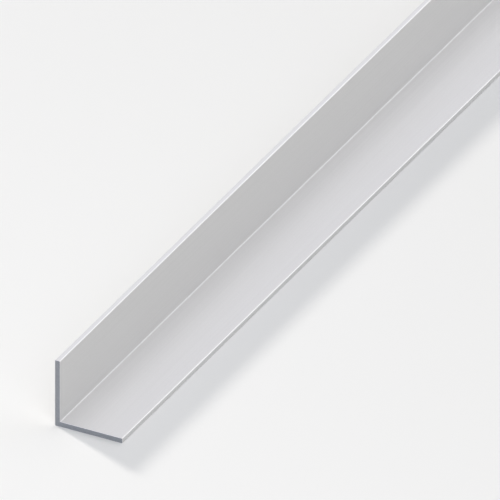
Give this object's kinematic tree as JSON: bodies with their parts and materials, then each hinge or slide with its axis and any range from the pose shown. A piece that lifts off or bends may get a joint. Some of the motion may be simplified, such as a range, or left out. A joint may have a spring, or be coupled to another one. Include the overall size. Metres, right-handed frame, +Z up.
{
  "type": "metal angle section",
  "caption": "Equal-leg aluminium angle section: a straight extruded L-profile bar for edging, corners, brackets and light framing.",
  "frame": {"origin": "on the floor, under the middle of the bar's box", "axes": "+Y along the bar from the near sawn end to the far one, +X from the heel to the tip of the leg that lies flat, +Z up along the standing leg"},
  "size_m": [0.02, 1, 0.02],
  "materials": {
    "anodised_aluminium": "satin, silver anodised, with fine lines along the bar and sawn, deburred ends"
  },
  "bodies": {
    "root": {"angle_section": "anodised_aluminium"}
  },
  "joints": []
}
